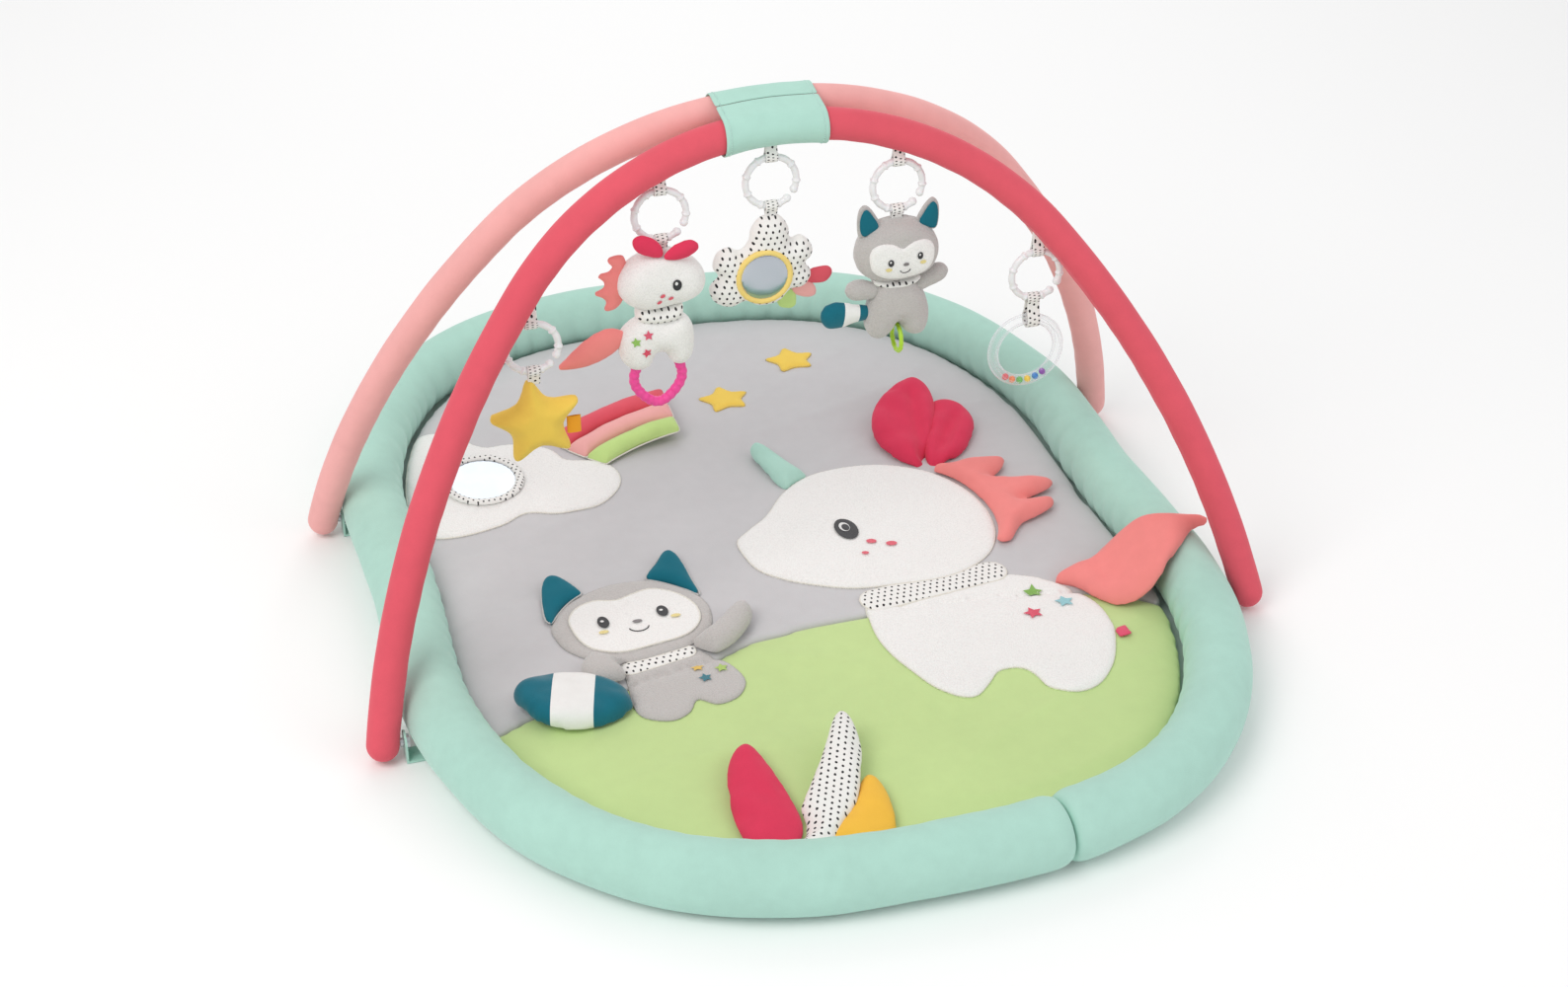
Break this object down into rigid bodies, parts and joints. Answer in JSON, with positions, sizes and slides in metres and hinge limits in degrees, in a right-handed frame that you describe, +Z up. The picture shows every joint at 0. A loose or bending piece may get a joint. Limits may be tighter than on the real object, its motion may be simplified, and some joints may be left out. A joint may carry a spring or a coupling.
{
  "type": "activity play gym",
  "caption": "Padded play mat with a stuffed rim, two padded arches joined by a sleeve, and soft toys hanging on link rings.",
  "frame": {"origin": "on the floor under the middle of the mat", "axes": "+X across the mat to its right, +Y along the mat to its back, +Z up"},
  "size_m": [0.9116, 1.1298, 0.5287],
  "materials": {
    "mint_velour": "soft mint velour",
    "grey_velour": "soft grey velour",
    "green_velour": "soft green velour",
    "backing_cotton": "woven cotton",
    "wadding": "polyester wadding",
    "white_fleece": "napped fleece",
    "grey_fleece": "napped fleece",
    "dotted_cotton": "white cotton with small dots",
    "coral_velour": "soft coral velour",
    "pink_velour": "soft pink velour",
    "salmon_velour": "soft salmon velour",
    "yellow_velour": "soft yellow velour",
    "teal_velour": "soft teal velour",
    "mirror_film": "flexible mirror film",
    "white_plastic": "glossy white plastic",
    "pink_silicone": "soft pink teether",
    "lime_plastic": "glossy lime plastic",
    "clear_plastic": "clear plastic",
    "bead_plastic": "glossy beads in six colours",
    "stud_metal": "press stud",
    "rod_fibre": "springy rod",
    "foam": "foam tube",
    "hook_tape": "hook and loop tape"
  },
  "bodies": {
    "root": {"mat_backing": "backing_cotton", "mat_wadding": "wadding", "sky_panel": "grey_velour", "hill_panel": "green_velour", "rim_left": "mint_velour", "rim_right": "mint_velour", "rim_filling": "wadding", "cloud_patch": "white_fleece", "mat_mirror": "mirror_film", "mirror_binding": "dotted_cotton", "rainbow_flap": "coral_velour", "star_patches": "yellow_velour", "unicorn_head": "white_fleece", "unicorn_neck_band": "dotted_cotton", "unicorn_body": "white_fleece", "unicorn_horn": "mint_velour", "forelock_petals": "coral_velour", "unicorn_mane": "salmon_velour", "unicorn_tail": "salmon_velour", "raccoon_head": "grey_fleece", "raccoon_face": "white_fleece", "raccoon_ears": "teal_velour", "raccoon_arms": "grey_fleece", "raccoon_body": "grey_fleece", "raccoon_neck_band": "dotted_cotton", "raccoon_tail": "teal_velour", "leaf_coral": "coral_velour", "leaf_dotted": "dotted_cotton", "leaf_yellow": "yellow_velour", "side_tab": "coral_velour", "foot_tabs": "mint_velour", "foot_sockets": "stud_metal"},
    "front_arch": {"front_rod": "rod_fibre", "front_foam": "foam", "front_cover": "coral_velour", "front_studs": "stud_metal", "sleeve_front": "mint_velour", "hook_strip": "hook_tape", "hanging_loops": "dotted_cotton"},
    "rear_arch": {"rear_rod": "rod_fibre", "rear_foam": "foam", "rear_cover": "pink_velour", "rear_studs": "stud_metal", "sleeve_rear": "mint_velour", "loop_strip": "hook_tape"},
    "star_hanger": {"star_link": "white_plastic"},
    "star": {"star_toy": "yellow_velour"},
    "unicorn_hanger": {"unicorn_link": "white_plastic"},
    "unicorn": {"unicorn_toy": "white_fleece", "unicorn_teether": "pink_silicone"},
    "cloud_hanger": {"cloud_link": "white_plastic"},
    "cloud": {"cloud_pouch": "dotted_cotton", "cloud_mirror": "mirror_film"},
    "raccoon_hanger": {"raccoon_link": "white_plastic"},
    "raccoon": {"raccoon_toy": "grey_fleece"},
    "pull": {"pull_ring": "lime_plastic"},
    "rattle_hanger": {"rattle_link": "white_plastic"},
    "rattle": {"rattle_strap": "dotted_cotton", "rattle_ring": "clear_plastic"},
    "beads": {"rattle_beads": "bead_plastic"}
  },
  "joints": [
    {"name": "front_arch_fold", "type": "hinge", "parent": "root", "child": "front_arch", "pos_m": [0, -0.218, 0.018], "axis": [1, 0, 0], "range_deg": [0, 98]},
    {"name": "rear_arch_fold", "type": "hinge", "parent": "root", "child": "rear_arch", "pos_m": [0, 0.186, 0.018], "axis": [-1, 0, 0], "range_deg": [0, 81.5]},
    {"name": "star_link_swing", "type": "hinge", "parent": "front_arch", "child": "star_hanger", "pos_m": [-0.252, -0.0694, 0.35582], "axis": [1, 0, 0], "range_deg": [-10, 25]},
    {"name": "star_swing", "type": "hinge", "parent": "star_hanger", "child": "star", "pos_m": [-0.252, -0.0694, 0.30582], "axis": [1, 0, 0], "range_deg": [-20, 20]},
    {"name": "unicorn_link_swing", "type": "hinge", "parent": "front_arch", "child": "unicorn_hanger", "pos_m": [-0.118, -0.0345, 0.45731], "axis": [1, 0, 0], "range_deg": [-25, 25]},
    {"name": "unicorn_swing", "type": "hinge", "parent": "unicorn_hanger", "child": "unicorn", "pos_m": [-0.118, -0.0345, 0.40731], "axis": [1, 0, 0], "range_deg": [-20, 20]},
    {"name": "cloud_link_swing", "type": "hinge", "parent": "front_arch", "child": "cloud_hanger", "pos_m": [-0.008, -0.02654, 0.47351], "axis": [1, 0, 0], "range_deg": [-25, 25]},
    {"name": "cloud_swing", "type": "hinge", "parent": "cloud_hanger", "child": "cloud", "pos_m": [-0.008, -0.02654, 0.42351], "axis": [1, 0, 0], "range_deg": [-20, 20]},
    {"name": "raccoon_link_swing", "type": "hinge", "parent": "front_arch", "child": "raccoon_hanger", "pos_m": [0.116, -0.03423, 0.45701], "axis": [1, 0, 0], "range_deg": [-25, 25]},
    {"name": "raccoon_swing", "type": "hinge", "parent": "raccoon_hanger", "child": "raccoon", "pos_m": [0.116, -0.03423, 0.40701], "axis": [1, 0, 0], "range_deg": [-20, 20]},
    {"name": "rattle_link_swing", "type": "hinge", "parent": "front_arch", "child": "rattle_hanger", "pos_m": [0.25, -0.06854, 0.359], "axis": [1, 0, 0], "range_deg": [-10, 25]},
    {"name": "rattle_swing", "type": "hinge", "parent": "rattle_hanger", "child": "rattle", "pos_m": [0.25, -0.06854, 0.309], "axis": [1, 0, 0], "range_deg": [-20, 20]},
    {"name": "raccoon_pull", "type": "slide", "parent": "raccoon", "child": "pull", "axis": [0, 0, -1], "range_m": [0, 0.03], "stiffness_N_per_m": 60, "springref_m": -0.002},
    {"name": "bead_run", "type": "hinge", "parent": "rattle", "child": "beads", "pos_m": [0.244, -0.06854, 0.251], "axis": [0, 1, 0], "continuous": true}
  ]
}
